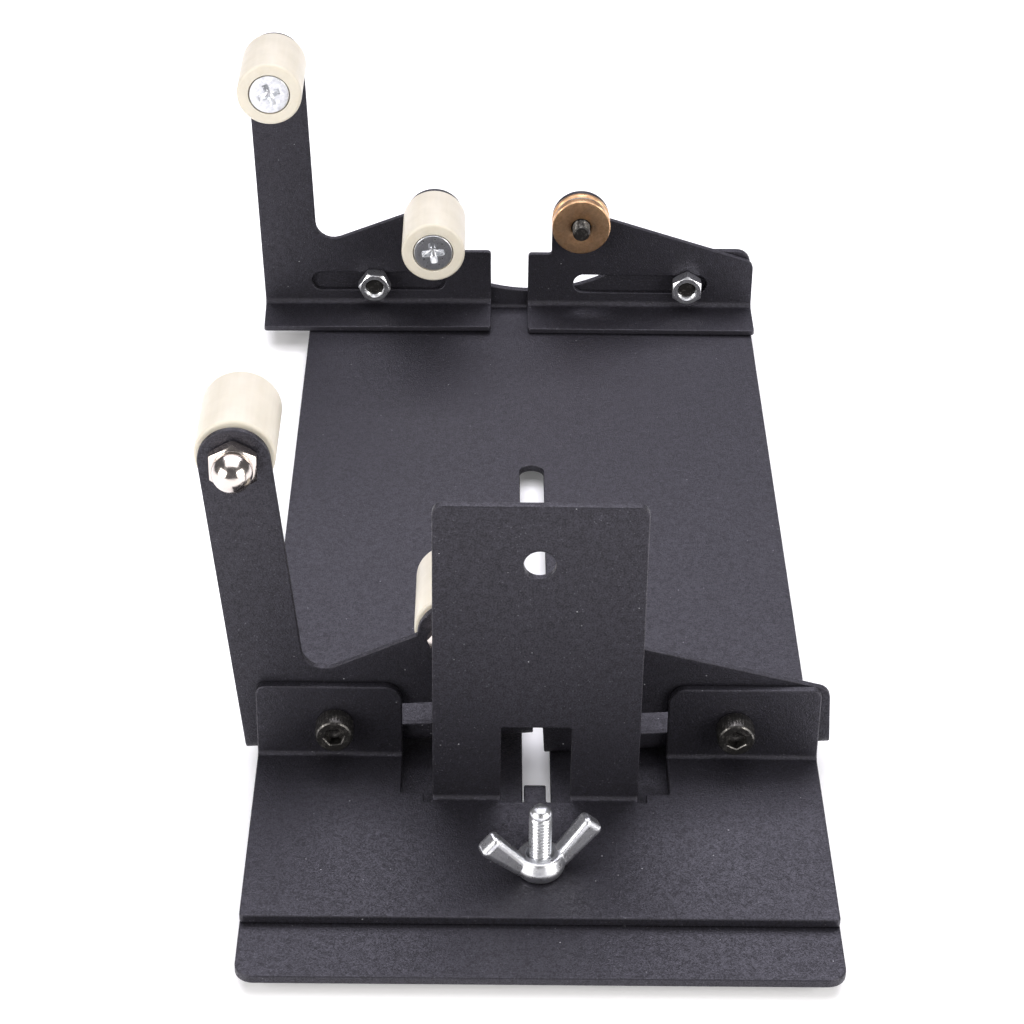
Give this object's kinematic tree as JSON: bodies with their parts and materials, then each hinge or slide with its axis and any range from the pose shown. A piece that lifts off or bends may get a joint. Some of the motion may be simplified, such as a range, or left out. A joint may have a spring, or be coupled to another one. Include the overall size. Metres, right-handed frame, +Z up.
{
  "type": "roller stand",
  "caption": "Black sheet-steel stand whose ivory rollers cradle a round item over a small brass scoring wheel, with slotted brackets and a sliding carriage with an end stop.",
  "frame": {"origin": "middle of the stand's bounding box, on the surface under its feet", "axes": "+X to the stand's right, +Y along the base from the end stop to the scoring wheel, +Z up"},
  "size_m": [0.145, 0.2944, 0.0909],
  "materials": {
    "powder_coat": "fine-textured black powder coat",
    "nylon": "ivory, fine turned surface",
    "zinc": "bright zinc plate",
    "nickel": "bright nickel plate",
    "black_oxide": "black oxide",
    "brass": "turned, with a bright rim",
    "hard_steel": "dark ground steel",
    "rubber": "matt black"
  },
  "bodies": {
    "base": {"base_plate": "powder_coat", "foot_front_left": "rubber", "foot_front_right": "rubber", "foot_rear_left": "rubber", "foot_rear_right": "rubber", "rear_left_bracket_screw": "black_oxide", "rear_left_bracket_nut": "zinc", "rear_right_bracket_screw": "black_oxide", "rear_right_bracket_nut": "zinc"},
    "carriage": {"carriage_plate": "powder_coat", "clamp_bolt": "zinc", "front_left_bracket_screw": "black_oxide", "front_right_bracket_screw": "black_oxide"},
    "wing_nut": {"wing_nut": "zinc"},
    "front_left_pivot_nut": {"front_left_bracket_nut": "zinc"},
    "front_right_pivot_nut": {"front_right_bracket_nut": "zinc"},
    "rear_left_arm": {"rear_left_bracket": "powder_coat", "rear_left_upper_roller_screw": "zinc", "rear_left_upper_roller_cap_nut": "nickel", "rear_left_lower_roller_screw": "zinc", "rear_left_lower_roller_cap_nut": "nickel"},
    "rear_right_arm": {"rear_right_bracket": "powder_coat", "cutter_axle_screw": "black_oxide"},
    "front_left_arm": {"front_left_bracket": "powder_coat", "front_left_upper_roller_screw": "zinc", "front_left_upper_roller_cap_nut": "nickel", "front_left_lower_roller_screw": "zinc", "front_left_lower_roller_cap_nut": "nickel"},
    "front_right_arm": {"front_right_bracket": "powder_coat", "front_right_roller_screw": "zinc", "front_right_roller_cap_nut": "nickel"},
    "rear_left_upper_roller": {"rear_left_upper_roller": "nylon"},
    "rear_left_lower_roller": {"rear_left_lower_roller": "nylon"},
    "front_left_upper_roller": {"front_left_upper_roller": "nylon"},
    "front_left_lower_roller": {"front_left_lower_roller": "nylon"},
    "front_right_roller": {"front_right_roller": "nylon"},
    "cutter_wheel": {"cutter_rear_disc": "brass", "cutter_blade": "hard_steel", "cutter_front_disc": "brass"}
  },
  "joints": [
    {"name": "carriage_slide", "type": "slide", "parent": "base", "child": "carriage", "axis": [0, 1, 0], "range_m": [-0.0065, 0.132]},
    {"name": "wing_nut_turn", "type": "hinge", "parent": "carriage", "child": "wing_nut", "pos_m": [0.00766, -0.116, 0.0076], "axis": [0, 0, 1], "range_deg": [0, 720]},
    {"name": "rear_left_slide", "type": "slide", "parent": "base", "child": "rear_left_arm", "axis": [0.9999, 0, 0.0105], "range_m": [-0.0173, 0.006]},
    {"name": "rear_right_slide", "type": "slide", "parent": "base", "child": "rear_right_arm", "axis": [1, 0, 0], "range_m": [-0.003, 0.029]},
    {"name": "front_left_tilt", "type": "hinge", "parent": "carriage", "child": "front_left_pivot_nut", "pos_m": [-0.03744, -0.07365, 0.0159], "axis": [0, -1, 0], "range_deg": [-6, 2]},
    {"name": "front_left_slide", "type": "slide", "parent": "front_left_pivot_nut", "child": "front_left_arm", "axis": [0.9974, 0, 0.0715], "range_m": [-0.0278, 0]},
    {"name": "front_right_tilt", "type": "hinge", "parent": "carriage", "child": "front_right_pivot_nut", "pos_m": [0.05136, -0.07365, 0.0159], "axis": [0, -1, 0], "range_deg": [-6.5, 0]},
    {"name": "front_right_slide", "type": "slide", "parent": "front_right_pivot_nut", "child": "front_right_arm", "axis": [0.9982, 0, 0.0593], "range_m": [-0.0013, 0.0265]},
    {"name": "rear_left_upper_roller_spin", "type": "hinge", "parent": "rear_left_arm", "child": "rear_left_upper_roller", "pos_m": [-0.06319, 0.1147, 0.08123], "axis": [0, 1, 0], "continuous": true},
    {"name": "rear_left_lower_roller_spin", "type": "hinge", "parent": "rear_left_arm", "child": "rear_left_lower_roller", "pos_m": [-0.01966, 0.1147, 0.03458], "axis": [0, 1, 0], "continuous": true},
    {"name": "front_left_upper_roller_spin", "type": "hinge", "parent": "front_left_arm", "child": "front_left_upper_roller", "pos_m": [-0.05748, -0.04975, 0.08224], "axis": [0, 1, 0], "continuous": true},
    {"name": "front_left_lower_roller_spin", "type": "hinge", "parent": "front_left_arm", "child": "front_left_lower_roller", "pos_m": [-0.01118, -0.04975, 0.03834], "axis": [0, 1, 0], "continuous": true},
    {"name": "front_right_roller_spin", "type": "hinge", "parent": "front_right_arm", "child": "front_right_roller", "pos_m": [0.02207, -0.04975, 0.03515], "axis": [0, 1, 0], "continuous": true},
    {"name": "cutter_spin", "type": "hinge", "parent": "rear_right_arm", "child": "cutter_wheel", "pos_m": [0.02146, 0.1371, 0.0344], "axis": [0, 1, 0], "continuous": true}
  ]
}
